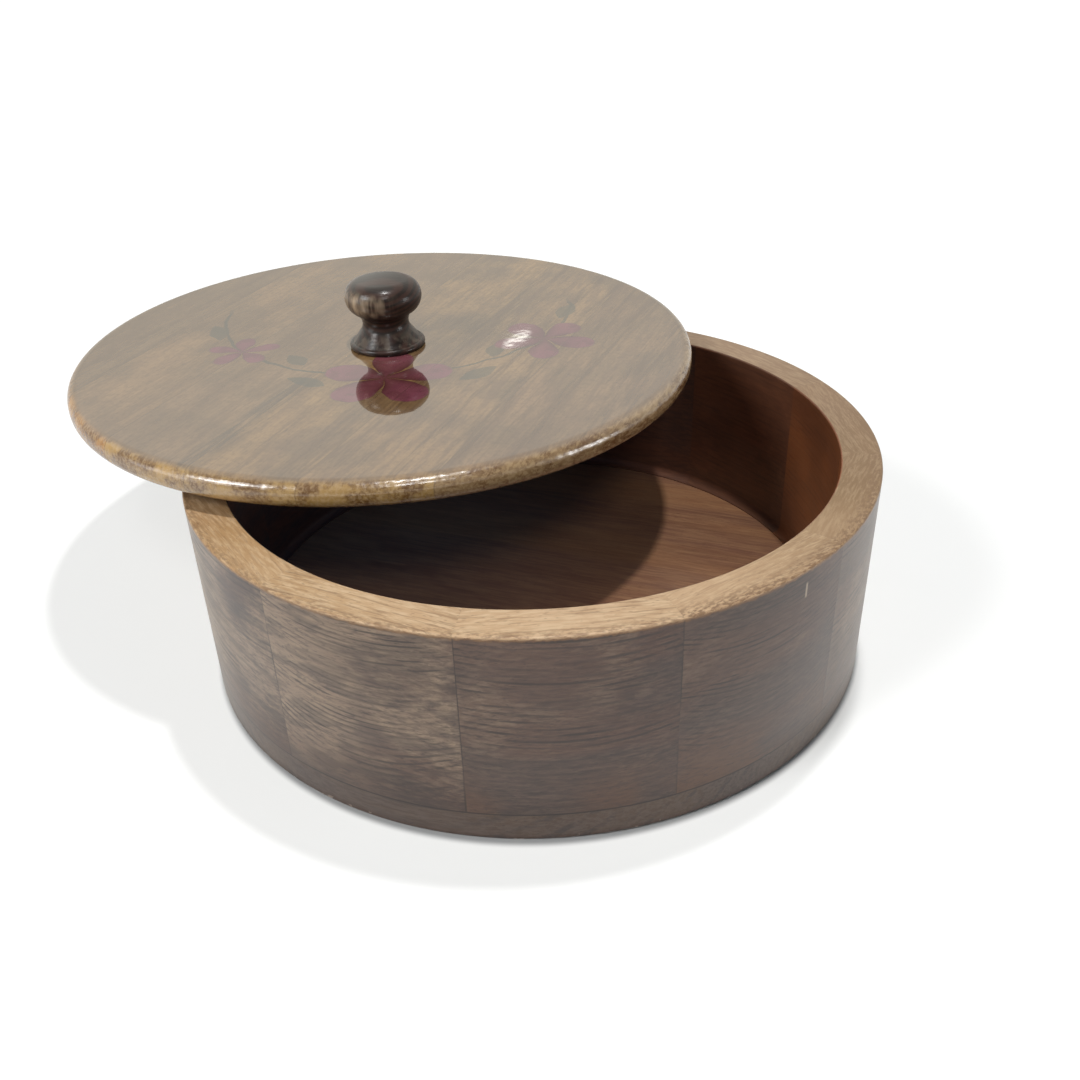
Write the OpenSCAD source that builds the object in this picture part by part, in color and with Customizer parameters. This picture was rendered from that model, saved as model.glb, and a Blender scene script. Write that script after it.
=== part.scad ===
// Round lidded box of stained wood, with +Z up and the front towards -Y.
// The origin is the centre of the base's underside.
// Short boards are glued edge to edge into a ring, which is turned round inside and out.
// The ring stands on a turned base disc. The lid is glued up from flat boards, with a step
// turned under it that drops into the box, and a turned knob is screwed on from below.
// The lid is drawn pushed over to the back left, where its step lies on the rim.

/* [Box] */
// Outside diameter of the box and of its lid
box_d = 200; // [160:1:280]
// Height of the box from the table to its rim
box_h = 62; // [50:0.5:90]
// Number of boards in the ring
stave_count = 12; // [10:1:16]
// Direction of the ring's first glue joint, in degrees from +X
stave_turn = 19; // [0:1:35]
// Thickness of the wall
wall_t = 11.2; // [9:0.1:14]
// Thickness of the base disc
base_t = 8.5; // [6:0.5:12]
// Radius of the hollow where the wall runs into the floor
cove_r = 2.6; // [1:0.1:4]

/* [Lid] */
// Thickness of the lid outside its step
lid_t = 8; // [7.5:0.1:12]
// Depth of the step under the lid
step_h = 4; // [2:0.5:6]
// Gap all round between the step and the wall when the box is shut
step_gap = 1.3; // [0.5:0.1:2.5]
// Number of boards that the lid is glued up from
lid_board_count = 6; // [5:1:8]
// Direction of the lid's grain, in degrees from +X
lid_grain = 67.5; // [0:0.5:180]
// Distance of the glue joint nearest to the knob from the lid's centre
lid_joint = 6.9; // [6:0.1:12]
// How far the lid is pushed off the box's centre
lid_push = 69.4; // [20:0.1:75]
// Direction in which the lid is pushed, in degrees from +X
lid_push_turn = 132.3; // [90:0.1:180]

/* [Knob] */
// Height of the knob above the lid
knob_h = 22.1; // [18:0.1:30]
// Diameter of the knob's head
knob_head_d = 24.5; // [22:0.1:32]
// Diameter of the knob's foot
knob_foot_d = 24.3; // [22:0.1:32]
// Diameter of the knob's neck
knob_neck_d = 14.8; // [12:0.1:18]
// How far the hand-fitted knob stands off the lid's centre
knob_off = 3.8; // [0:0.1:5]
// Direction in which the knob stands off, in degrees from +X
knob_off_turn = -75; // [-120:1:-30]
// Length of the screw that holds the knob
screw_l = 24; // [20:0.5:26]
// Diameter of the screw's shank
screw_d = 3.5; // [3:0.1:4]

/* [Hidden] */
$fn = 96;
// Cutting shapes run this far past the solids that they cut
overrun = 1;
// Largest distance between an arc in an outline and the chords that draw it
arc_sag = 0.006;

box_r = box_d / 2;
inner_r = box_r - wall_t;
stave_angle = 360 / stave_count;
// Edges of the rim, the base's underside and the step are sanded off a little
rim_ease = 0.6;
foot_ease = 1.2;
step_ease = 0.5;
// The hollow ends in a thin lip, where the ring's glue line shows on the floor
cove_lip = 0.3;

lid_h = step_h + lid_t;
step_r = inner_r - step_gap;
// Shares of the lid's thickness that its rounded edge takes above and below
lid_over_round = 0.47 * lid_t;
lid_under_round = 0.43 * lid_t;
// The lid's inner boards are equally wide. Its two outer boards together are this share of a
// board wider than two inner ones.
outer_board_extra = 0.25;
lid_board_w = box_d / (lid_board_count + outer_board_extra);
first_joint = -ceil(lid_board_count / 2) + 1;
lid_joints = [for (k = [0:lid_board_count - 2]) lid_joint + (first_joint + k) * lid_board_w];
lid_cuts = concat([-box_r - overrun], lid_joints, [box_r + overrun]);

knob_head_r = knob_head_d / 2;
knob_foot_r = knob_foot_d / 2;
knob_neck_r = knob_neck_d / 2;
// Shares of the knob's height: the rounding of its head's shoulder and of its head below the
// widest place, the rise of its domed top, and the height of its neck
head_round = 0.235 * knob_h;
under_round = 0.27 * knob_h;
dome_rise = 0.018 * knob_h;
neck_z = 0.362 * knob_h;
// The foot ends in a small bead, and its top leans back to the neck
bead_r = 1;
bead_end_turn = 100;
neck_start_turn = 220;
// Centres of the head's two roundings, which meet at its widest place
head_x = knob_head_r - head_round;
under_x = knob_head_r - under_round;
head_z = knob_h - dome_rise - head_round;
// The neck's hollow has the one radius at which it runs into the head's underside smoothly
neck_out = knob_neck_r - under_x;
neck_drop = head_z - neck_z;
neck_hollow = (neck_out * neck_out + neck_drop * neck_drop - under_round * under_round)
    / (2 * (under_round - neck_out));
neck_x = knob_neck_r + neck_hollow;
neck_end_turn = atan2(neck_drop, under_x - neck_x);
// The dome has the radius at which it runs into the head's shoulder smoothly
dome_above = knob_h - head_z;
dome_r = (head_x * head_x + dome_above * dome_above - head_round * head_round)
    / (2 * (dome_above - head_round));
dome_z = knob_h - dome_r;
dome_turn = atan2(head_z - dome_z, head_x);

screw_r = screw_d / 2;
screw_head_r = 2 * screw_r;
// A countersunk head's cone is as high as it is wide on each side
screw_head_h = screw_head_r - screw_r;
screw_point_h = 2 * screw_d;
screw_clearance = 0.05;
// The head lies this far inside the step's underside
screw_sink = 0.3;
screw_slot_w = 0.8;
screw_slot_depth = 1.2;
screw_slot_l = 1.2 * screw_head_r;

stave_names = [for (i = [1:stave_count]) str("stave_", i < 10 ? "0" : "", i)];
lid_board_names = [for (i = [1:lid_board_count]) str("lid_board_", i)];

// Points of an arc about a centre, from one direction to another
function arc(x, y, r, from, to) =
    let (steps = ceil(abs(to - from) / (2 * acos(1 - arc_sag / r))))
    [for (i = [0:steps]) let (a = from + (to - from) * i / steps) [x + r * cos(a), y + r * sin(a)]];

// Cross-section of the ring: a straight wall with eased rim edges and a hollow at the floor
module wall_section() {
    polygon(concat(
        [[inner_r - cove_r, base_t], [box_r, base_t]],
        arc(box_r - rim_ease, box_h - rim_ease, rim_ease, 0, 90),
        arc(inner_r + rim_ease, box_h - rim_ease, rim_ease, 90, 180),
        arc(inner_r - cove_r, base_t + cove_lip + cove_r, cove_r, 0, -90)
    ));
}

// One board of the ring, counted round from the first glue joint
module stave(i) {
    color("#6c5d50")
        rotate([0, 0, stave_turn + i * stave_angle])
            rotate_extrude(angle = stave_angle) wall_section();
}

// Cross-section of the base: a flat disc with its lower edge eased
module base_section() {
    polygon(concat(
        [[0, 0]],
        arc(box_r - foot_ease, foot_ease, foot_ease, -90, 0),
        [[box_r, base_t], [0, base_t]]
    ));
}

module base_disc() {
    color("#5b4a3f")
        rotate_extrude() base_section();
}

// Cross-section of the lid, from the step's underside up
module lid_section() {
    polygon(concat(
        [[0, 0]],
        arc(step_r - step_ease, step_ease, step_ease, -90, 0),
        [[step_r, step_h]],
        arc(box_r - lid_under_round, step_h + lid_under_round, lid_under_round, -90, 0),
        arc(box_r - lid_over_round, lid_h - lid_over_round, lid_over_round, 0, 90),
        [[0, lid_h]]
    ));
}

// Carries what lies on the knob's axis from the lid's centre to its place
module at_knob() {
    translate([knob_off * cos(knob_off_turn), knob_off * sin(knob_off_turn), 0]) children();
}

// Countersunk hole for the knob's screw, from the step's underside up
module screw_hole() {
    hole_r = screw_r + screw_clearance;
    head_hole_r = screw_head_r + screw_clearance;
    at_knob() {
        translate([0, 0, -overrun]) cylinder(r = hole_r, h = lid_h + 2 * overrun);
        translate([0, 0, -overrun]) cylinder(r = head_hole_r, h = overrun + screw_sink);
        translate([0, 0, screw_sink]) cylinder(r1 = head_hole_r, r2 = hole_r, h = screw_head_h);
    }
}

// Carries what belongs to the lid from its own centre to its place on the rim
module on_rim() {
    translate([lid_push * cos(lid_push_turn), lid_push * sin(lid_push_turn), box_h]) children();
}

// One board of the lid, counted across the grain from the front right
module lid_board(i) {
    color("#a5957c")
        on_rim()
            intersection() {
                difference() {
                    rotate_extrude() lid_section();
                    screw_hole();
                }
                rotate([0, 0, lid_grain])
                    translate([-box_r - overrun, lid_cuts[i], -overrun])
                        cube([box_d + 2 * overrun, lid_cuts[i + 1] - lid_cuts[i], lid_h + 2 * overrun]);
            }
}

// Outline of the knob on one side: foot bead, hollow neck, head's underside and shoulder, dome
module knob_section() {
    polygon(concat(
        [[0, 0]],
        arc(knob_foot_r - bead_r, bead_r, bead_r, -90, bead_end_turn),
        arc(neck_x, neck_z, neck_hollow, neck_start_turn, neck_end_turn),
        arc(under_x, head_z, under_round, neck_end_turn - 180, 0),
        arc(head_x, head_z, head_round, 0, dome_turn),
        arc(0, dome_z, dome_r, dome_turn, 90)
    ));
}

module knob() {
    screw_bite = screw_sink + screw_l - lid_h;
    color("#3f342b")
        on_rim()
            at_knob()
                translate([0, 0, lid_h])
                    difference() {
                        rotate_extrude() knob_section();
                        translate([0, 0, -overrun])
                            cylinder(r = screw_r + screw_clearance, h = screw_bite + 2 * overrun);
                    }
}

module knob_screw() {
    color("#b9b6ae")
        on_rim()
            at_knob()
                translate([0, 0, screw_sink])
                    difference() {
                        union() {
                            cylinder(r1 = screw_head_r, r2 = screw_r, h = screw_head_h);
                            translate([0, 0, screw_head_h])
                                cylinder(r = screw_r, h = screw_l - screw_head_h - screw_point_h);
                            translate([0, 0, screw_l - screw_point_h])
                                cylinder(r1 = screw_r, r2 = 0, h = screw_point_h);
                        }
                        for (turn = [0, 90])
                            rotate([0, 0, turn])
                                translate([-screw_slot_l / 2, -screw_slot_w / 2, -overrun])
                                    cube([screw_slot_l, screw_slot_w, overrun + screw_slot_depth]);
                    }
}

for (i = [0:stave_count - 1])
    stave(i);
base_disc();
for (i = [0:lid_board_count - 1])
    lid_board(i);
knob();
knob_screw();
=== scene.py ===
import math

import bpy
from mathutils import Matrix, Vector

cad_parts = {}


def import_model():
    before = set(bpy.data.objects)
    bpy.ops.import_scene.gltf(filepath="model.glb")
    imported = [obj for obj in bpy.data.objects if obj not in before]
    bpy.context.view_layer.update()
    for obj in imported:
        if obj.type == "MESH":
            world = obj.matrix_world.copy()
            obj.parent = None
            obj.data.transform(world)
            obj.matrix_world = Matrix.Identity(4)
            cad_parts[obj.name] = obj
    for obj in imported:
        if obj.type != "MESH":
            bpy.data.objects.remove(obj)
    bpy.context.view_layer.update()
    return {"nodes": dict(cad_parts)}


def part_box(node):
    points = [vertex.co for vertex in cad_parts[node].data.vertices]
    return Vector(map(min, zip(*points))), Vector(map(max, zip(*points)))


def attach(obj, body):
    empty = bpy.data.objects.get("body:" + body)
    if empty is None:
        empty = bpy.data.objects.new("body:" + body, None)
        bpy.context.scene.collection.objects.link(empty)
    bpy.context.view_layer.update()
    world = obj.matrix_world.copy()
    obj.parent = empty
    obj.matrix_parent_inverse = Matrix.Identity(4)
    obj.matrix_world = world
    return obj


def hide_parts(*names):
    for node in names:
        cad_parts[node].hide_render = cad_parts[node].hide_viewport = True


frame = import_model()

# A round lidded box of stained wood on a white table. Lengths are in metres where Blender takes
# them, and patterns are worked out in millimetres.
MM = 0.001

# Sizes that the solids share, in metres
LID_BOARD_COUNT = 6
BASE_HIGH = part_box("base_disc")[1]
KNOB_LOW, KNOB_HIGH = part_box("knob")
BOX_R = BASE_HIGH.x
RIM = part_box("stave_01")[1].z
LID_TOP = KNOB_LOW.z
LID_CORNERS = [corner for n in range(1, LID_BOARD_COUNT + 1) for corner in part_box(f"lid_board_{n}")]
LID_CENTRE = Vector((
    (min(c.x for c in LID_CORNERS) + max(c.x for c in LID_CORNERS)) / 2,
    (min(c.y for c in LID_CORNERS) + max(c.y for c in LID_CORNERS)) / 2, RIM,
))
KNOB_CENTRE = Vector(((KNOB_LOW.x + KNOB_HIGH.x) / 2, (KNOB_LOW.y + KNOB_HIGH.y) / 2, LID_TOP))

# The same in millimetres, for patterns: the wall's thickness and two radii, the heights of the rim
# and of the floor above the table, and the lid's height with its step
WALL = 11.2
OUTER_R = BOX_R / MM
INNER_R = OUTER_R - WALL
RIM_UP = RIM / MM
FLOOR_UP = BASE_HIGH.z / MM
LID_H = (LID_TOP - RIM) / MM

# Directions, in degrees from +X
FIRST_JOINT = 19.0
STAVE_COUNT = 12
STAVE_ANGLE = 360 / STAVE_COUNT
BASE_GRAIN = -20.5
LID_GRAIN = 67.5

# The lid's boards, from the front right: where each one's pith lies across the lid, in
# millimetres, its own brown, the brown of its end grain, and how strongly its rings show
LID_BOARDS = [
    (-90, "#8b6b49", "#8f7350", 0.55), (-30, "#94734b", "#a88650", 0.60),
    (-22, "#9a784b", "#b29058", 0.40), (30, "#8a6c4a", "#b38d50", 0.30),
    (50, "#8f6f4a", "#ab7630", 0.30), (96, "#7c6244", "#8c6230", 0.35),
]
# Height of the piths over the lid's underside, which puts them below it, and the gap between
# rings, in millimetres
LID_PITH_UP = -38
LID_RING_GAP = 3.4
# The lid is 6.25 boards wide, because its outer two together are a quarter board wider than two.
# The joint nearest to its centre is 6.9 mm off, and the first and last board run past the edge.
LID_BOARD_W = 2 * OUTER_R / 6.25
LID_JOINT = 6.9
LID_EDGE = OUTER_R + 5
LID_JOINTS = [-LID_EDGE] + [LID_JOINT + k * LID_BOARD_W for k in range(-2, 3)] + [LID_EDGE]


# How a material is put together


def colour(code):
    """An sRGB hex colour as the linear colour that a shader takes."""
    parts = [int(code[i:i + 2], 16) / 255 for i in (1, 3, 5)]
    return [p / 12.92 if p <= 0.04045 else ((p + 0.055) / 1.055) ** 2.4 for p in parts] + [1.0]


def add(tree, kind, inputs, out=0, **settings):
    """Adds one shader node with its settings, links or fills its inputs, and gives one output."""
    node = tree.nodes.new("ShaderNode" + kind)
    for name, value in settings.items():
        setattr(node, name, value)
    for place, value in inputs.items():
        if isinstance(value, bpy.types.NodeSocket):
            tree.links.new(value, node.inputs[place])
        else:
            node.inputs[place].default_value = colour(value) if isinstance(value, str) else value
    return node.outputs[out]


def new_material(name):
    """An empty node material and its tree."""
    material = bpy.data.materials.new(name)
    material.use_nodes = True
    material.node_tree.nodes.clear()
    return material, material.node_tree


def close(tree, shader, whose="Material"):
    """Joins the shader to the output of a material or of the world."""
    output = tree.nodes.new("ShaderNodeOutput" + whose)
    tree.links.new(shader, output.inputs["Surface"])


def board_space(tree, turn, centre=(0, 0, 0)):
    """Millimetres on a board: X runs along its grain, Y across it, Z up. Turn is in degrees."""
    place = add(tree, "TexCoord", {}, out="Object")
    return add(tree, "Mapping", {
        "Vector": place, "Location": centre, "Rotation": (0, 0, math.radians(turn)), "Scale": (MM, MM, MM),
    }, vector_type="TEXTURE")


def off_axis(tree, place):
    """How far a place is from the upright axis."""
    flat = add(tree, "VectorMath", {0: place, 1: (1, 1, 0)}, operation="MULTIPLY")
    return add(tree, "VectorMath", {0: flat}, out="Value", operation="LENGTH")


def off_by(tree, value, target):
    """How far a value is from a target, either way."""
    off = add(tree, "Math", {0: value, 1: target}, operation="SUBTRACT")
    return add(tree, "Math", {0: off}, operation="ABSOLUTE")


def share(tree, *parts):
    """How far all of some conditions hold together, from 0 to 1.

    A part is a value with the place where it starts to count and the place where it counts in
    full, or else a share or a number as it is."""
    whole = None
    for part in parts:
        if isinstance(part, tuple):
            value, start, full = part
            part = add(tree, "MapRange", {"Value": value, "From Min": start, "From Max": full},
                       interpolation_type="SMOOTHSTEP")
        whole = part if whole is None else add(tree, "Math", {0: whole, 1: part}, operation="MULTIPLY")
    return whole


def layered(tree, ground, *layers):
    """Colours laid over a ground one after another. Each has the parts of its share after it."""
    for over, *parts in layers:
        ground = add(tree, "Mix", {0: share(tree, *parts), 6: ground, 7: over}, out=2, data_type="RGBA")
    return ground


# Noise that makes up a board's figure: how many times longer than wide its marks are, or None for
# the board's own stretch, then the width of a light and a dark mark together in millimetres, and
# the noise's detail, roughness and distortion
FIGURE = {
    # Where late wood is strong, and slow changes of tone
    "late": (None, 5, 2.0, 0.5, 0.0), "tone": (None, 15, 2.5, 0.5, 0.0),
    # Dark lines come and go along their ring, and bands of darker growth
    "dash": (12, 1.3, 3.0, 0.5, 0.0), "band": (7, 3.2, 2.0, 0.5, 0.0),
    # Fibres 0.5 mm wide and 7 mm long, and flecks 0.4 mm wide and 3 mm long
    "fibre": (14, 1.0, 3.0, 0.65, 0.0), "fleck": (7, 0.8, 3.0, 0.7, 0.0),
    # Curly figure: short light and dark dabs about 2 mm long
    "curl": (4.5, 0.9, 3.0, 0.6, 0.5),
}
# The wave node draws this many radians of rings in a unit
WAVE_RADIANS = 20
# Length of the kinks in a ring line, in millimetres
RING_KINK = 11


def grain(tree, space, board, pith, ring_gap, stretch=9.0, wander=0.5):
    """Growth of one board: dark ring lines, slow changes of tone, fine fibres and open pores.

    The rings run round a pith at that place across and above the board's grain, so a curved cut
    through them shows arches, as a turned board does. Gaps and wander are in millimetres."""
    own = add(tree, "Mapping", {"Vector": space, "Location": (131 * board, 17 * board, 7 * board)})
    wood = {"own": own}
    for name, (longer, width, detail, roughness, distortion) in FIGURE.items():
        drawn = add(tree, "Mapping", {"Vector": own, "Scale": (1 / (longer or stretch), 1, 1)})
        wood[name] = add(tree, "TexNoise", {
            "Vector": drawn, "Scale": 1 / width, "Detail": detail, "Roughness": roughness,
            "Distortion": distortion,
        })
    wood["fibres"] = share(tree, (wood["fibre"], 0.36, 0.64))
    wood["flecks"] = share(tree, (wood["fleck"], 0.40, 0.66))

    round_pith = add(tree, "Mapping", {
        "Vector": space, "Location": (7.7 * board, -pith[0], -pith[1]), "Scale": (1 / stretch, 1, 1),
    })
    per_mm = 2 * math.pi / (WAVE_RADIANS * ring_gap)
    wood["ring"] = add(tree, "TexWave", {
        "Vector": round_pith, "Scale": per_mm, "Distortion": 4 * math.pi * wander / ring_gap,
        "Detail": 3.0, "Detail Scale": 1 / (RING_KINK * per_mm), "Detail Roughness": 0.55,
    }, out="Fac", wave_type="RINGS", rings_direction="X", wave_profile="SIN")
    wood["line"] = share(
        tree, (wood["ring"], 0.50, 1.0), (wood["late"], 0.34, 0.62), (wood["dash"], 0.34, 0.56),
    )

    # Open pores are 0.1 mm wide in the wood, and 0.3 mm here so that they show
    pore_space = add(tree, "Mapping", {"Vector": own, "Scale": (1 / 2.6, 1 / 0.7, 1 / 0.7)})
    pore_gap = add(tree, "TexVoronoi", {"Vector": pore_space, "Scale": 1.0}, out="Distance")
    crowd = add(tree, "MapRange", {
        "Value": wood["late"], "From Min": 0.35, "From Max": 0.7, "To Min": 0.14, "To Max": 0.40,
    })
    wood["pore"] = add(tree, "MapRange", {
        "Value": pore_gap, "From Min": 0.08, "From Max": crowd, "To Min": 1.0, "To Max": 0.0,
    }, interpolation_type="SMOOTHSTEP")
    return wood


def satin_wood(tree, wood, colours, rough, uncoated, depth):
    """Open-pored wood under a thin satin lacquer, which leaves out its uncoated share."""
    gloss = add(tree, "MapRange", {"Value": uncoated, "To Min": 0.15, "To Max": 0.0})
    relief = add(tree, "Math", {0: wood["pore"], 1: -0.6, 2: wood["fibre"]}, operation="MULTIPLY_ADD")
    bump = add(tree, "Bump", {"Height": relief, "Distance": 0.05 * MM, "Strength": depth})
    close(tree, add(tree, "BsdfPrincipled", {
        "Base Color": colours, "Roughness": rough, "IOR": 1.5, "Normal": bump,
        "Coat Weight": gloss, "Coat Roughness": 0.26, "Coat Normal": bump,
    }))


# Wood of the box

# How a stave was sawn: how far behind its face and above the table its pith lay, and the ring gap,
# in millimetres
CUTS = {"flat": (66, -24, 1.0), "rift": (52, -40, 1.6), "quarter": (24, -84, 2.0)}
# Each stave's cut, how much light wood shows outside, its rim's colour and how strong the flecks
# are there, its inner face's colour, and how far the stain is rubbed off near its foot. Staves 7
# and 8 face the left lamp, and their light wood also paints its sheen. The inner colours are
# painted shade: brightest and most orange on staves 11 and 12, which the left lamp lights
# inside, and dark grey brown on staves 3 to 8 in the lid's shade.
STAVES = [
    ("rift", 0.3, "#907459", 0.35, "#5d3d2d", 0.3), ("flat", 0.3, "#92755b", 0.35, "#503a31", 0.3),
    ("quarter", 0.4, "#a08362", 0.5, "#4a3a34", 0.3), ("rift", 0.3, "#a58966", 0.5, "#3f3836", 0.3),
    ("flat", 0.3, "#a08060", 0.5, "#3f3836", 0.3), ("rift", 0.5, "#a78868", 0.6, "#3f3836", 0.3),
    ("quarter", 1.0, "#aa8558", 0.7, "#3f3836", 0.3), ("flat", 1.0, "#bf9c74", 1.0, "#453835", 0.1),
    ("rift", 0.30, "#c8a682", 1.0, "#5b4030", 0.7), ("flat", 0.2, "#b4936f", 0.6, "#6b412a", 0.9),
    ("quarter", 0.4, "#7f6240", 0.3, "#8a4f2c", 0.4), ("rift", 0.3, "#7e6246", 0.3, "#7e4a2a", 0.3),
]
# The stave with a short pale scratch under its rim, where that lies along the stave, and the
# heights between which it runs, in millimetres
SCRATCHED = 10
SCRATCH_ALONG = 10.6
SCRATCH_LOW, SCRATCH_HIGH = 54, 58
# Staves whose rim is knocked and worn along its outer edge
KNOCKED = (10, 11)
# How far in the wear reaches, in millimetres, where it counts in full, and its share: for a knocked
# rim and for the others
KNOCKED_WEAR = (6.0, 0.60, 0.9)
LIGHT_WEAR = (3.5, 0.64, 0.6)


def stained_stave_wood(number):
    """One board of the ring: stained grey brown and lacquered satin outside, stained red brown
    inside, and with its rim sanded back to the bare light wood."""
    material, tree = new_material(f"stained_stave_wood_{number:02d}")
    cut, light, rim_colour, rim_flecks, inner_colour_and_shade, rubbed = STAVES[number - 1]
    rim_before, rim_after = STAVES[number - 2][2], STAVES[number % STAVE_COUNT][2]
    pith_in, pith_up, ring_gap = CUTS[cut]
    # X is the tangent, which the grain follows, and Y points inwards
    space = board_space(tree, FIRST_JOINT + (number - 0.5) * STAVE_ANGLE + 90)
    along, inwards, height = add(tree, "SeparateXYZ", {0: space}).node.outputs
    radius = off_axis(tree, space)
    wood = grain(tree, space, number, (pith_in - OUTER_R, pith_up + 5 * (number % 3)), ring_gap)

    # Outside: grey brown stain, dark in ring lines and pores, with light flecks in patches 24 mm
    # wide. Only faint flecks show between the patches.
    patch = add(tree, "TexNoise", {"Vector": wood["own"], "Scale": 1 / 24, "Detail": 2.0})
    pale = share(tree, (patch, 0.60 - 0.28 * light, 0.80 - 0.28 * light), (height, 10, 30))
    show = add(tree, "MapRange", {"Value": pale, "To Min": 0.10, "To Max": 0.16 + 0.55 * light})
    # Painted sheen of the left lamp lightens the light staves towards the left and upwards.
    # Near the foot the stain is rubbed thin over warm wood
    painted_left_sheen = share(tree, (along, 14, -20), (height, 0, 32))
    rubbed_off = share(tree, (patch, 0.36, 0.62), (height, 30, 12))
    outside = layered(
        tree, "#3c2e2a",
        ("#4c342a", (wood["tone"], 0.60, 0.40)),
        # Painted sheen, lighter towards the left
        ("#a28c76", painted_left_sheen, 0.85 * light * light),
        ("#89745f", pale, 0.7 * light),
        ("#947e69", wood["flecks"], show),
        ("#9c866e", (wood["curl"], 0.48, 0.66), show, 0.8),
        ("#654d44", wood["fibres"], 0.26),
        ("#3c302c", (wood["band"], 0.54, 0.38), 0.10 + 0.35 * light),
        ("#5f412e", rubbed_off, 0.8 * rubbed),
        ("#382e2d", (wood["curl"], 0.48, 0.34), 0.30 + 0.15 * light),
        ("#28211f", wood["line"], 0.25),
        # Most of a ring line's dark fades out near the foot
        ("#28211f", wood["line"], (height, 8, 30), (wood["tone"], 0.66, 0.44), 0.75),
        ("#2a2222", wood["pore"], 0.45),
    )
    if number == SCRATCHED:
        off_scratch = off_by(tree, along, SCRATCH_ALONG)
        above_end = (height, SCRATCH_LOW - 0.5, SCRATCH_LOW + 0.5)
        below_end = (height, SCRATCH_HIGH + 0.5, SCRATCH_HIGH - 0.5)
        outside = layered(tree, outside, ("#b5a28c", (off_scratch, 0.5, 0.2), above_end, below_end, 0.7))

    # Inside: red brown stain, over each stave's inner colour with its painted shade
    inside = layered(
        tree, inner_colour_and_shade,
        ("#6a402c", (wood["tone"], 0.35, 0.65), 0.6),
        ("#8a5b3f", wood["fibres"], 0.25),
        ("#3b2620", wood["line"], 0.35),
        ("#3a251d", (patch, 0.42, 0.62), 0.25),
    )

    # Rim: bare wood with light and dark flecks. The sanding blends each board's colour into the next
    half = OUTER_R * math.sin(math.radians(STAVE_ANGLE / 2))
    rim = layered(
        tree, rim_colour,
        (rim_after, (along, -0.3 * half, half), 0.5),
        (rim_before, (along, 0.3 * half, -half), 0.5),
        ("#8c6c4c", (wood["tone"], 0.4, 0.65), 0.4),
        ("#dcc09b", wood["flecks"], 0.6 * rim_flecks),
        ("#7d5d3d", (wood["fibre"], 0.50, 0.36), 0.5 * rim_flecks),
        ("#6b4e34", wood["pore"], 0.45 * rim_flecks),
    )

    # The stain ends unevenly below the rim's outer edge, in teeth up to 1.6 mm high, with a browner
    # border
    tooth = add(tree, "Mapping", {"Vector": wood["own"], "Scale": (1 / 2.2, 1, 1)})
    ragged = add(tree, "TexNoise", {"Vector": tooth, "Scale": 1 / 0.7, "Detail": 4.0})
    lowered = add(tree, "Math", {0: ragged, 1: 1.6, 2: height}, operation="MULTIPLY_ADD")
    outside = layered(tree, outside, ("#7f5a36", (lowered, RIM_UP - 0.6, RIM_UP), 0.7))
    worn_in, worn_full, worn_share = KNOCKED_WEAR if number in KNOCKED else LIGHT_WEAR
    rim = layered(tree, rim, (
        "#7a5c40", (radius, OUTER_R - worn_in, OUTER_R - 0.6), (ragged, 0.40, worn_full), worn_share,
    ))
    rim_share = share(tree, (lowered, RIM_UP - 0.1, RIM_UP + 0.5))
    in_share = share(tree, (radius, INNER_R + 0.45, INNER_R + 0.25))
    colours = layered(tree, outside, (rim, rim_share), (inside, in_share))

    # Thin dark glue lines where boards meet, and where the ring meets the base. They hardly show
    # on the rim and inside.
    side = math.radians(STAVE_ANGLE / 2)
    sideways = add(tree, "Math", {0: along}, operation="ABSOLUTE")
    sideways = add(tree, "Math", {0: sideways, 1: math.cos(side)}, operation="MULTIPLY")
    to_joint = add(tree, "Math", {0: inwards, 1: math.sin(side), 2: sideways}, operation="MULTIPLY_ADD")
    joint_line = share(tree, (to_joint, -0.34, -0.10), (patch, 0.34, 0.70))
    foot_line = share(tree, (height, FLOOR_UP + 0.55, FLOOR_UP + 0.30))
    line = add(tree, "Math", {0: joint_line, 1: foot_line}, operation="MAXIMUM")
    uncoated = add(tree, "Math", {0: rim_share, 1: in_share}, operation="MAXIMUM")
    open_line = add(tree, "MapRange", {"Value": uncoated, "To Min": 0.80, "To Max": 0.06})
    colours = layered(tree, colours, ("#1d1716", line, open_line))

    rough = add(tree, "MapRange", {"Value": wood["fleck"], "To Min": 0.26, "To Max": 0.42})
    rough = add(tree, "Mix", {0: rim_share, 2: rough, 3: 0.5})
    satin_wood(tree, wood, colours, rough, uncoated, 0.6)
    return material


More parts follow.
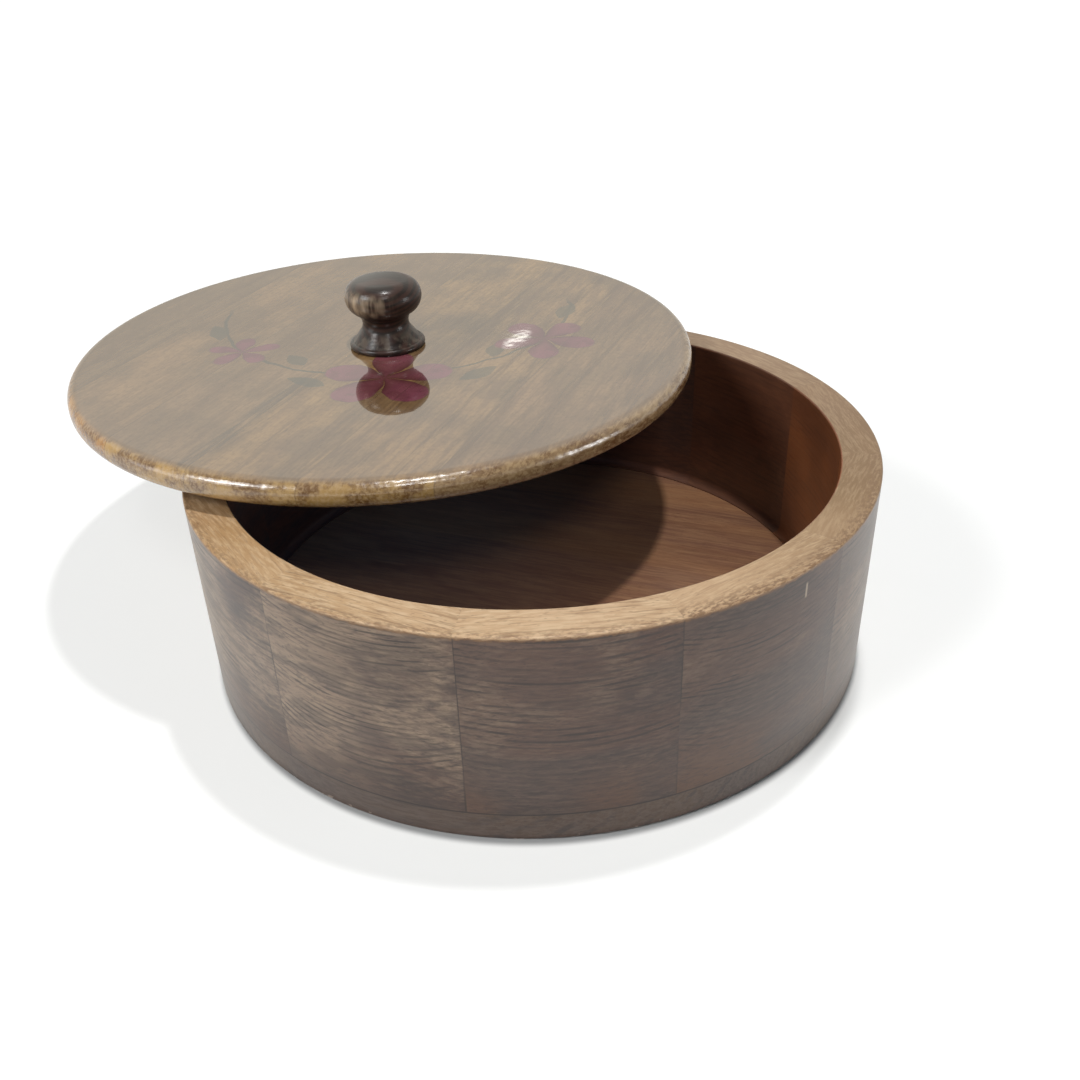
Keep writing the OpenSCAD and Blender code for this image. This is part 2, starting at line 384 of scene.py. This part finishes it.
def stained_base_wood():
    """The base disc: one wide board, stained as the ring is outside and red brown inside."""
    material, tree = new_material("stained_base_wood")
    space = board_space(tree, BASE_GRAIN)
    height = add(tree, "SeparateXYZ", {0: space}, out="Z")
    wood = grain(tree, space, 5, (30, -70), 3.2, stretch=12.0)
    outside = layered(
        tree, "#42322c",
        ("#4e3a2c", (wood["tone"], 0.4, 0.6)),
        ("#6b5c52", wood["flecks"], 0.35),
        ("#5b4d45", wood["fibres"], 0.4),
        ("#322a2a", wood["line"], 0.6),
        ("#2a2221", wood["pore"], 0.5),
    )
    inside = layered(
        tree, "#8a6144",
        ("#73503f", (wood["tone"], 0.36, 0.62)),
        ("#a07a58", wood["fibres"], 0.5),
        ("#74503a", wood["flecks"], 0.3),
        ("#5e3b2c", wood["line"], 0.35),
        ("#553527", wood["pore"], 0.4),
    )
    # Knocks have chipped the stain off the lowest 2 mm of the edge here and there
    chip = add(tree, "TexNoise", {"Vector": space, "Scale": 1 / 2.2, "Detail": 3.0})
    outside = layered(tree, outside, ("#a08f80", (chip, 0.66, 0.70), (height, 2.0, 1.2), 0.7))
    floor = share(
        tree, (height, FLOOR_UP - 0.3, FLOOR_UP - 0.1), (off_axis(tree, space), OUTER_R - 2, OUTER_R - 4),
    )
    satin_wood(tree, wood, layered(tree, outside, (inside, floor)), 0.34, floor, 0.5)
    return material


# Wood of the lid and its knob

# Blossoms of the painted garland: place across and back from the lid's centre, radius and turn
BLOSSOMS = [((3, -32), 24, 0.25), ((52, -4), 21, 0.9), ((-46, -6), 17, 1.6)]
PETALS = 5
# The garland's stem is an arc about this place, at this radius
STEM_PLACE = (2, 30)
STEM_R = 61
# Leaves: place, length, half width and turn
LEAVES = [
    ((31, -31), 15, 3.4, 0.75), ((-21, -33), 14, 3.2, 2.55), ((-27, -15), 12, 3.0, -0.9),
    ((36, -12), 12, 3.0, -1.7), ((60, 22), 16, 3.4, 1.25), ((-58, 12), 15, 3.2, 1.9),
]
# How far the painter's hand strays, in millimetres
SWAY = 3.2
# How far the middle of the stained joint lies across the lid, in millimetres
STAINED_JOINT = 8.0


def from_place(tree, place, centre, turn):
    """A flat position about a centre, turned, in millimetres, and its distance from the centre."""
    about = add(tree, "Mapping", {
        "Vector": place, "Location": (centre[0], centre[1], 0), "Rotation": (0, 0, turn),
    }, vector_type="TEXTURE")
    reach = add(tree, "VectorMath", {0: about}, out="Value", operation="LENGTH")
    return add(tree, "SeparateXYZ", {0: about}).node.outputs, reach


def painted_garland():
    """A garland of round five-petalled blossoms and leaves, painted in thin plum and pink.

    Takes millimetres about the lid's centre, and gives the paint's colour and how much it covers."""
    tree = bpy.data.node_groups.new("painted_garland", "ShaderNodeTree")
    tree.interface.new_socket("Place", in_out="INPUT", socket_type="NodeSocketVector")
    tree.interface.new_socket("Color", in_out="OUTPUT", socket_type="NodeSocketColor")
    tree.interface.new_socket("Cover", in_out="OUTPUT", socket_type="NodeSocketFloat")
    place = tree.nodes.new("NodeGroupInput").outputs["Place"]
    sway = add(tree, "TexNoise", {"Vector": place, "Scale": 1 / 9, "Detail": 2.0}, out="Color")
    hand = add(tree, "VectorMath", {0: sway, 1: (0.5, 0.5, 0.5)}, operation="SUBTRACT")
    place = add(tree, "VectorMath", {0: hand, 1: (SWAY, SWAY, 0), 2: place}, operation="MULTIPLY_ADD")
    wash = add(tree, "TexNoise", {"Vector": place, "Scale": 1 / 6, "Detail": 3.0})

    # Stem: a thin line along the front of an arc
    paint = "#39382f"
    (_, front, _), reach = from_place(tree, place, STEM_PLACE, 0)
    cover = share(tree, (off_by(tree, reach, STEM_R), 0.75, 0.35), (front, 8, -2), 0.7)

    # Leaves: two arcs that meet in points
    for centre, length, half_width, turn in LEAVES:
        (along, across, _), _ = from_place(tree, place, centre, turn)
        part = add(tree, "Math", {0: along, 1: 2 / length}, operation="MULTIPLY")
        arch = add(tree, "Math", {0: part, 1: part}, operation="MULTIPLY")
        arch = add(tree, "Math", {0: arch, 1: -half_width, 2: half_width}, operation="MULTIPLY_ADD")
        across = add(tree, "Math", {0: across}, operation="ABSOLUTE")
        edge = add(tree, "Math", {0: arch, 1: across}, operation="SUBTRACT")
        there = share(tree, (edge, -0.2, 0.5), 0.6)
        paint = layered(tree, paint, ("#3d3f33", there))
        cover = add(tree, "Math", {0: cover, 1: there}, operation="MAXIMUM")

    for centre, radius, turn in BLOSSOMS:
        (along, across, _), reach = from_place(tree, place, centre, turn)
        angle = add(tree, "Math", {0: across, 1: along}, operation="ARCTAN2")
        lobe = add(tree, "Math", {0: angle, 1: PETALS / 2}, operation="MULTIPLY")
        lobe = add(tree, "Math", {0: lobe}, operation="COSINE")
        lobe = add(tree, "Math", {0: lobe}, operation="ABSOLUTE")
        lobe = add(tree, "Math", {0: lobe, 1: 0.45}, operation="POWER")
        rim = add(tree, "Math", {0: lobe, 1: 0.62 * radius, 2: 0.38 * radius}, operation="MULTIPLY_ADD")
        edge = add(tree, "Math", {0: rim, 1: reach}, operation="SUBTRACT")
        there = share(tree, (edge, -0.3, 0.7))
        # Deep plum at the heart and along the folds between petals, pink towards the tips
        tip = add(tree, "Math", {0: reach, 1: radius}, operation="DIVIDE")
        tip = add(tree, "Math", {0: tip, 1: lobe}, operation="MULTIPLY")
        petal = layered(
            tree, "#401620",
            ("#763a4b", (tip, 0.12, 0.9)),
            ("#51202e", (wash, 0.45, 0.65), 0.5),
            ("#665022", (reach, 0.2 * radius, 0.12 * radius)),
        )
        paint = layered(tree, paint, (petal, there))
        cover = add(tree, "Math", {0: cover, 1: share(tree, there, 0.85)}, operation="MAXIMUM")

    output = tree.nodes.new("NodeGroupOutput")
    tree.links.new(paint, output.inputs["Color"])
    tree.links.new(cover, output.inputs["Cover"])
    return tree


def glazed_lid_wood(number, garland):
    """One board of the lid: brown wood under a thick clear coat, which mirrors what is round it.
    The wood is wetted through, so only the coat shines."""
    material, tree = new_material(f"glazed_lid_wood_{number}")
    space = board_space(tree, LID_GRAIN, LID_CENTRE)
    lid_place = board_space(tree, 0, LID_CENTRE)
    along, across, height = add(tree, "SeparateXYZ", {0: space}).node.outputs
    pith_across, tint, end_tint, rings = LID_BOARDS[number - 1]
    pith = (pith_across, LID_PITH_UP)
    wood = grain(tree, space, 3 * number + 1, pith, LID_RING_GAP, stretch=11.0, wander=1.2)
    cloud = add(tree, "TexNoise", {"Vector": wood["own"], "Scale": 1 / 20, "Detail": 5.0})
    mottle = add(tree, "TexNoise", {"Vector": wood["own"], "Scale": 1 / 1.6, "Detail": 4.0})
    # A grey stain has crept along the middle joint from the front
    off_joint = off_by(tree, across, STAINED_JOINT)
    stain = share(tree, (off_joint, 5.0, 1.0), (along, -25, -45), (wood["dash"], 0.30, 0.60))
    colours = layered(
        tree, tint,
        ("#735a3e", (cloud, 0.34, 0.68)),
        ("#5e442e", (wood["tone"], 0.42, 0.68), 0.35),
        ("#8f6f49", wood["fibres"], 0.15),
        ("#4e3926", wood["flecks"], 0.2),
        ("#4a3525", (mottle, 0.45, 0.65), 0.2),
        ("#5e4433", (wood["band"], 0.42, 0.62), 0.7 * rings),
        ("#47301f", (wood["ring"], 0.2, 1.0), (wood["dash"], 0.36, 0.60), 0.7 * rings),
        ("#8f6c48", (wood["curl"], 0.44, 0.66), 0.08),
        ("#3f3228", stain, 0.6),
        ("#38261c", wood["pore"], 0.25),
    )

    # Paint on the flat top only
    art = add(tree, "Group", {"Place": lid_place}, node_tree=garland).node.outputs
    colours = layered(tree, colours, (art["Color"], art["Cover"], (height, LID_H - 0.3, LID_H - 0.1)))

    # The rounded edge shows end grain, mottled where it drank the finish
    edge_share = share(tree, (off_axis(tree, lid_place), OUTER_R - 3.0, OUTER_R - 1.0))
    drank = add(tree, "TexNoise", {"Vector": lid_place, "Scale": 1 / 9, "Detail": 6.0, "Roughness": 0.72})
    end_grain = layered(
        tree, end_tint,
        ("#583413", (drank, 0.42, 0.60), 0.85),
        ("#c2a57a", (wood["curl"], 0.40, 0.65), 0.45),
    )
    colours = layered(tree, colours, (end_grain, edge_share, 0.92))

    # Glue lines between the boards
    low, high = LID_JOINTS[number - 1], LID_JOINTS[number]
    low_line = share(tree, (across, low + 0.3, low + 0.1))
    high_line = share(tree, (across, high - 0.3, high - 0.1))
    gap = add(tree, "Math", {0: low_line, 1: high_line}, operation="MAXIMUM")
    colours = layered(tree, colours, ("#3a2c20", gap, 0.25))

    # The coat lies nearly flat on top and in small waves on the edge
    waves = add(tree, "TexNoise", {"Vector": lid_place, "Scale": 1 / 5, "Detail": 2.0})
    depth = add(tree, "MapRange", {"Value": edge_share, "To Min": 0.010, "To Max": 0.32})
    coat_height = add(tree, "Math", {0: waves, 1: depth}, operation="MULTIPLY")
    coat_bump = add(tree, "Bump", {"Height": coat_height, "Distance": MM, "Strength": 1.0})
    coat_rough = add(tree, "MapRange", {"Value": edge_share, "To Min": 0.03, "To Max": 0.24})
    close(tree, add(tree, "BsdfPrincipled", {
        "Base Color": colours, "Roughness": 0.35, "Specular IOR Level": 0.0,
        "Coat Weight": 1.0, "Coat Roughness": coat_rough, "Coat IOR": 1.92, "Coat Normal": coat_bump,
    }))
    return material


def lacquered_knob_wood():
    """The knob: dark stained wood, lathe-turned and lacquered, with pale upright streaks on the head's
    left, worn and painted as its highlight.
    """
    material, tree = new_material("lacquered_knob_wood")
    space = board_space(tree, 0, KNOB_CENTRE)
    wood = grain(tree, space, 2, (4, -14), 1.6, stretch=5.0)
    rightwards, _, height = add(tree, "SeparateXYZ", {0: space}).node.outputs
    # Pale upright streaks round the head's left: wear, with a painted highlight where the left lamp shines
    upright = add(tree, "Mapping", {"Vector": space, "Scale": (1, 1, 1 / 7)})
    streak = add(tree, "TexNoise", {"Vector": upright, "Scale": 1 / 2.6, "Detail": 4.0})
    lamp_side = share(tree, (rightwards, 8, -10))
    colours = layered(
        tree, "#35211a",
        ("#1f1410", (wood["ring"], 0.2, 0.9)),
        ("#bea789", (streak, 0.34, 0.70), lamp_side, (height, 11, 15), (height, 21, 17.5), 0.90),
        # Pale streaks painted in the hollow side of the foot as its highlight
        ("#7d7060", (streak, 0.44, 0.62), (height, 7, 4), (height, 1.6, 2.4), 0.4),
    )
    # The lacquer is thinner on the right
    lacquer = add(tree, "MapRange", {"Value": lamp_side, "To Min": 0.32, "To Max": 0.72})
    bump = add(tree, "Bump", {"Height": wood["curl"], "Distance": 0.1 * MM, "Strength": 0.6})
    close(tree, add(tree, "BsdfPrincipled", {
        "Base Color": colours, "Roughness": 0.5, "Specular IOR Level": 0.15, "Normal": bump,
        "Coat Weight": lacquer, "Coat Roughness": 0.25, "Coat Normal": bump,
    }))
    return material


def zinc_plated_steel():
    """The screw: zinc-plated steel, bright and slightly clouded."""
    material, tree = new_material("zinc_plated_steel")
    cloud = add(tree, "TexNoise", {"Vector": board_space(tree, 0), "Scale": 1 / 1.5, "Detail": 3.0})
    rough = add(tree, "MapRange", {"Value": cloud, "To Min": 0.25, "To Max": 0.42})
    close(tree, add(tree, "BsdfPrincipled", {
        "Base Color": layered(tree, "#a9a79f", ("#c9c8c2", cloud)), "Metallic": 1.0, "Roughness": rough,
    }))
    return material


def dress(node, material):
    """Gives a CAD node one material."""
    mesh = frame["nodes"][node].data
    mesh.materials.clear()
    mesh.materials.append(material)


# Screw under the knob

# Corners of a mesh that lie nearer together than this are one corner: at the end, and in the
# wound thread
SLIVER = 0.004 * MM
SAME_PLACE = 0.0001 * MM
# The head's rim, where the thread starts above the head's face, its turns, pitch and ridge, and the
# length over which the neck narrows to the core
HEAD_RIM = 0.25 * MM
THREAD_FROM = 6.5 * MM
THREAD_TURNS = 7
PITCH = 1.5 * MM
RIDGE_R = 0.5 * MM
TAPER = 0.5 * MM
# Width and depth of the cross recess. The bars that cut it stick out of the head as far again.
RECESS_W = 0.8 * MM
RECESS_DEPTH = 1.2 * MM


def pick(piece):
    """Makes one piece the selected and active one."""
    bpy.ops.object.select_all(action="DESELECT")
    piece.select_set(True)
    bpy.context.view_layer.objects.active = piece


def edit(piece):
    """Opens a piece for editing with everything in it selected."""
    pick(piece)
    bpy.ops.object.mode_set(mode="EDIT")
    bpy.ops.mesh.select_all(action="SELECT")


def apply_boolean(piece, tool, operation):
    """Cuts a tool out of a piece, or joins it on, and removes the tool."""
    bpy.ops.object.mode_set(mode="OBJECT")
    pick(piece)
    step = piece.modifiers.new("step", "BOOLEAN")
    step.object, step.operation, step.solver = tool, operation, "EXACT"
    bpy.ops.object.modifier_apply(modifier="step")
    bpy.data.objects.remove(tool)


def countersunk_screw():
    """The knob's screw: a countersunk head with a cross recess, a plain neck, a thread and a point."""
    low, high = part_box("knob_screw")
    axis = Vector(((low.x + high.x) / 2, (low.y + high.y) / 2, low.z))
    head_r = (high.x - low.x) / 2
    shank_r = head_r / 2
    core_r = 0.70 * shank_r
    length = high.z - low.z
    thread_to = THREAD_FROM + THREAD_TURNS * PITCH

    # Body, drawn up from the head's flat face one ring after another
    bpy.ops.mesh.primitive_circle_add(vertices=48, radius=head_r, fill_type="NGON", location=axis)
    body = bpy.context.object
    body.name = "knob_screw_detail"
    edit(body)
    here, radius = 0.0, head_r
    for up, next_r in (
        (HEAD_RIM, head_r), (head_r - shank_r, shank_r), (THREAD_FROM - TAPER, shank_r),
        (THREAD_FROM, core_r), (thread_to, core_r), (length - 0.1 * MM, 0.03 * shank_r),
    ):
        bpy.ops.mesh.extrude_region_move(TRANSFORM_OT_translate={"value": (0, 0, up - here)})
        if next_r != radius:
            centre = (axis.x, axis.y, axis.z + up)
            bpy.ops.transform.resize(value=(next_r / radius, next_r / radius, 1), center_override=centre)
        here, radius = up, next_r
    bpy.ops.mesh.select_all(action="SELECT")
    bpy.ops.mesh.normals_make_consistent(inside=False)

    # Cross recess, two tapered bars sunk into the head
    for turn in (0, 90):
        bpy.ops.object.mode_set(mode="OBJECT")
        bpy.ops.mesh.primitive_cube_add(size=1, location=axis)
        bar = bpy.context.object
        edit(bar)
        size = (1.2 * head_r, RECESS_W, 2 * RECESS_DEPTH)
        bpy.ops.transform.resize(value=size, center_override=axis)
        bpy.ops.mesh.select_mode(type="FACE")
        bpy.ops.mesh.select_all(action="DESELECT")
        bpy.ops.object.mode_set(mode="OBJECT")
        for face in bar.data.polygons:
            face.select = face.normal.z > 0.9
        bpy.ops.object.mode_set(mode="EDIT")
        bpy.ops.transform.resize(value=(0.5, 0.7, 1), center_override=axis)
        bpy.ops.mesh.select_all(action="SELECT")
        bpy.ops.transform.rotate(value=math.radians(turn), orient_axis="Z", center_override=axis)
        apply_boolean(body, bar, "DIFFERENCE")

    # Thread, a sharp ridge wound round the core
    quarter = math.radians(90)
    bpy.ops.mesh.primitive_circle_add(
        vertices=3, radius=RIDGE_R, fill_type="NGON", location=(0, 0, 0), rotation=(quarter, quarter, 0),
    )
    ridge = bpy.context.object
    bpy.ops.object.transform_apply(location=False, rotation=True, scale=False)
    edit(ridge)
    bpy.ops.mesh.delete(type="ONLY_FACE")
    bpy.ops.mesh.select_all(action="SELECT")
    bpy.ops.transform.translate(value=(shank_r - RIDGE_R, 0, 0))
    bpy.ops.object.mode_set(mode="OBJECT")
    winding = ridge.modifiers.new("winding", "SCREW")
    winding.axis, winding.screw_offset = "Z", PITCH
    winding.iterations = THREAD_TURNS
    winding.steps = winding.render_steps = 24
    winding.use_merge_vertices = False
    bpy.ops.object.modifier_apply(modifier="winding")
    edit(ridge)
    bpy.ops.mesh.remove_doubles(threshold=SAME_PLACE)
    bpy.ops.mesh.select_all(action="DESELECT")
    bpy.ops.mesh.select_mode(type="EDGE")
    bpy.ops.mesh.select_non_manifold()
    bpy.ops.mesh.edge_face_add()
    bpy.ops.mesh.select_all(action="SELECT")
    bpy.ops.mesh.normals_make_consistent(inside=False)
    bpy.ops.transform.translate(value=(axis.x, axis.y, axis.z + THREAD_FROM))
    apply_boolean(body, ridge, "UNION")

    # The cuts and the join leave slivers without area
    edit(body)
    bpy.ops.mesh.remove_doubles(threshold=SLIVER)
    bpy.ops.mesh.dissolve_degenerate(threshold=SLIVER)
    bpy.ops.mesh.select_all(action="SELECT")
    bpy.ops.mesh.quads_convert_to_tris()
    bpy.ops.mesh.dissolve_degenerate(threshold=SLIVER)
    bpy.ops.object.mode_set(mode="OBJECT")
    pick(body)
    bpy.ops.object.transform_apply(location=True, rotation=True, scale=True)
    bpy.ops.object.shade_smooth_by_angle(angle=math.radians(35))
    body.data.materials.append(zinc_plated_steel())
    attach(body, "lid")
    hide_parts("knob_screw")


# Table, lamps and camera

# Width of the table, in metres
TABLE_W = 6
# Paper white that the camera and gloss are shown next to what the lamps light
PAPER_GLOW = 0.48
# Far behind the box the table gets less lamp light, so there the camera sees it glow more
FAR_PAPER_GLOW = 0.22
FAR_PAPER = (0.45, 1.6)
# Painted contact shadow under the foot's rounding: there the table glows less and its white
# is painted greyer, most at the front
CONTACT = (BOX_R - 1.6 * MM, BOX_R + 0.8 * MM)
CONTACT_FORWARD = 1.8 * MM
PAINTED_SHADOW_GREY = 0.25


def table():
    """A white table top under the box. The camera sees it as white paper with the box's shadow and a
    painted contact shadow at the foot.
    """
    material, tree = new_material("white_paper")
    place = add(tree, "TexCoord", {}, out="Object")
    distance = add(tree, "VectorMath", {0: place}, out="Value", operation="LENGTH")
    contact_place = (0, -CONTACT_FORWARD, 0)
    foot = add(tree, "VectorMath", {0: place, 1: contact_place}, out="Value", operation="DISTANCE")
    open_share = share(tree, (foot, *CONTACT))
    speck = add(tree, "TexNoise", {"Vector": board_space(tree, 0), "Scale": 1 / 40})
    white = layered(tree, "#b6b6b5", ("#b9b9b8", speck))
    # Painted contact shadow: the paper's white greyed near the foot
    painted_shadow_paper = layered(tree, white, ("#1c1c1a", PAINTED_SHADOW_GREY))
    paper = add(tree, "BsdfDiffuse", {"Color": layered(tree, painted_shadow_paper, (white, open_share))})
    rays = add(tree, "LightPath", {}).node.outputs
    camera_ray, glossy_ray = rays["Is Camera Ray"], rays["Is Glossy Ray"]
    seen = add(tree, "Math", {0: camera_ray, 1: glossy_ray}, operation="MAXIMUM")
    tint = layered(tree, (1.0, 0.995, 0.96, 1), ((1.0, 0.95, 0.86, 1), glossy_ray))
    near = share(tree, seen, open_share, PAPER_GLOW)
    far = share(tree, camera_ray, (distance, *FAR_PAPER), FAR_PAPER_GLOW)
    strength = add(tree, "Math", {0: near, 1: far}, operation="ADD")
    glow = add(tree, "Emission", {"Color": tint, "Strength": strength})
    close(tree, add(tree, "AddShader", {0: paper, 1: glow}))
    bpy.ops.mesh.primitive_plane_add(size=TABLE_W, location=(0, 0, 0))
    top = bpy.context.object
    top.name = "table"
    top.data.materials.append(material)
    return top


def light(name, kind, strength, **settings):
    """Adds a lamp of one kind to the scene."""
    glowing = bpy.data.lights.new(name, kind)
    glowing.energy = strength
    for setting, value in settings.items():
        setattr(glowing, setting, value)
    piece = bpy.data.objects.new(name, glowing)
    bpy.context.scene.collection.objects.link(piece)
    return piece


def distant_lamp(name, azimuth, elevation, strength, width=3.0):
    """A distant soft lamp: where it stands, in degrees, its strength, and how wide it looks."""
    piece = light(name, "SUN", strength, angle=math.radians(width))
    a, e = math.radians(azimuth), math.radians(elevation)
    towards = Vector((math.cos(e) * math.cos(a), math.cos(e) * math.sin(a), math.sin(e)))
    piece.rotation_euler = towards.to_track_quat("Z", "Y").to_euler()
    return piece


def link_lamp(piece, other, state):
    """Makes a lamp light one object only (INCLUDE), or everything else (EXCLUDE)."""
    group = bpy.data.collections.new(f"{piece.name}_and_{other.name}")
    group.objects.link(other)
    group.collection_objects[0].light_linking.link_state = state
    piece.light_linking.receiver_collection = group


def lamps(top):
    """The key lamp lights the box only, and two others only the table, whose shadow they shape."""
    key = distant_lamp("lamp_key", -55, 81, 1.7)
    distant_lamp("lamp_front", -78, 45, 0.5, width=12.0)
    distant_lamp("lamp_left", -148, 35, 1.4, width=20.0)
    distant_lamp("lamp_low_right", -15, 4, 0.7, width=14.0)
    distant_lamp("lamp_low_left", -165, 4, 0.5, width=30.0)
    # This one hangs near the box, so that the box's shadow spreads
    over_table = light("lamp_over_table", "POINT", 22, shadow_soft_size=30 * MM)
    over_table.location = Vector((116, 104, 878)) * MM
    on_table = distant_lamp("lamp_left_on_table", -148, 35, 1.6, width=20.0)
    # The faint cool veil in the deep shade under the lid
    blue = (0.25, 0.5, 1.0)
    in_shade = light("lamp_in_shade", "AREA", 0.009, shape="DISK", size=120 * MM, color=blue)
    in_shade.location = Vector((-42, 18, 58)) * MM
    in_shade.visible_camera = in_shade.visible_glossy = False
    link_lamp(key, top, "EXCLUDE")
    link_lamp(over_table, top, "INCLUDE")
    link_lamp(on_table, top, "INCLUDE")


# Light that comes from the white room, next to the lamps
ROOM_LIGHT = 0.12
# What gloss mirrors: the dim wall behind the camera, and the wall behind the box low and high
DIM_WALL, LOW_WALL, HIGH_WALL = 0.2, 0.92, 1.27
# Direction of a small lamp at the back of the room, its turn and shape, and its strength
GLARE = (-0.010, 0.934, 0.356)
GLARE_TURN = 20
GLARE_SHAPE = (1.5, 1.0, 0.3)
GLARE_STRENGTH = 4.0


def world():
    """A white room, darker behind the camera: white where the camera sees it, mirrored in gloss,
    and a part of the light elsewhere."""
    room = bpy.data.worlds.new("white_room")
    bpy.context.scene.world = room
    room.use_nodes = True
    tree = room.node_tree
    tree.nodes.clear()
    towards = add(tree, "TexCoord", {}, out="Generated")
    _, backwards, upwards = add(tree, "SeparateXYZ", {0: towards}).node.outputs
    up = share(tree, (upwards, 0.27, 0.44))
    bright = add(tree, "MapRange", {"Value": up, "To Min": LOW_WALL, "To Max": HIGH_WALL})
    mirrored = add(tree, "Mix", {0: share(tree, (backwards, -0.30, 0.60)), 2: DIM_WALL, 3: bright})
    # A small bright lamp at the back, whose glare shows on the lid
    aside = add(tree, "Mapping", {
        "Vector": towards, "Location": GLARE, "Rotation": (0, math.radians(GLARE_TURN), 0),
        "Scale": GLARE_SHAPE,
    }, vector_type="TEXTURE")
    aside = add(tree, "VectorMath", {0: aside}, out="Value", operation="LENGTH")
    glare = share(tree, (aside, 0.011, 0.006), GLARE_STRENGTH)
    mirrored = add(tree, "Math", {0: mirrored, 1: glare}, operation="ADD")
    rays = add(tree, "LightPath", {}).node.outputs
    camera_ray = rays["Is Camera Ray"]
    in_gloss = add(tree, "Math", {0: rays["Is Glossy Ray"], 1: rays["Is Transmission Ray"]},
                   operation="MAXIMUM")
    strength = add(tree, "Mix", {0: in_gloss, 2: ROOM_LIGHT, 3: mirrored})
    strength = add(tree, "Mix", {0: camera_ray, 2: strength, 3: 1.0})
    # What the lamps do not reach is lit coolly, and gloss mirrors the room's warm walls
    tint = layered(
        tree, (0.80, 0.98, 1.25, 1), ((1.0, 0.985, 0.90, 1), in_gloss), ((1, 1, 1, 1), camera_ray),
    )
    close(tree, add(tree, "Background", {"Color": tint, "Strength": strength}), "World")


# The photograph's viewpoint, found from the ellipses of the rim, the lid and the base: its place in
# millimetres, its turns down, left and about its own axis in degrees, and its focal length as a
# share of the picture's width
CAMERA_PLACE = (0, -292.8, 204.0)
CAMERA_TURNS = (31.29, 0.30, -1.85)
FOCAL_SHARE = 1097 / 1080
# Width of the camera's sensor in millimetres
SENSOR_W = 36


def camera():
    """A camera that stands where the photograph's did."""
    place = Vector(CAMERA_PLACE) * MM
    down, lamp_side, roll = (math.radians(d) for d in CAMERA_TURNS)
    forward = Vector((math.sin(lamp_side) * math.cos(down), math.cos(lamp_side) * math.cos(down), -math.sin(down)))
    level = forward.cross(Vector((0, 0, 1))).normalized()
    upright = level.cross(forward)
    right = math.cos(roll) * level + math.sin(roll) * upright
    up = -math.sin(roll) * level + math.cos(roll) * upright
    lens = bpy.data.cameras.new("camera")
    lens.sensor_width = SENSOR_W
    lens.lens = SENSOR_W * FOCAL_SHARE
    lens.clip_start = 0.01
    piece = bpy.data.objects.new("camera", lens)
    bpy.context.scene.collection.objects.link(piece)
    turned = Matrix((right, up, -forward)).transposed().to_4x4()
    piece.matrix_world = Matrix.Translation(place) @ turned
    bpy.context.scene.camera = piece


bpy.context.scene.view_settings.view_transform = "Standard"
camera()
world()
lamps(table())

for n in range(1, STAVE_COUNT + 1):
    dress(f"stave_{n:02d}", stained_stave_wood(n))
dress("base_disc", stained_base_wood())
flowers = painted_garland()
for n in range(1, LID_BOARD_COUNT + 1):
    dress(f"lid_board_{n}", glazed_lid_wood(n, flowers))
dress("knob", lacquered_knob_wood())
countersunk_screw()
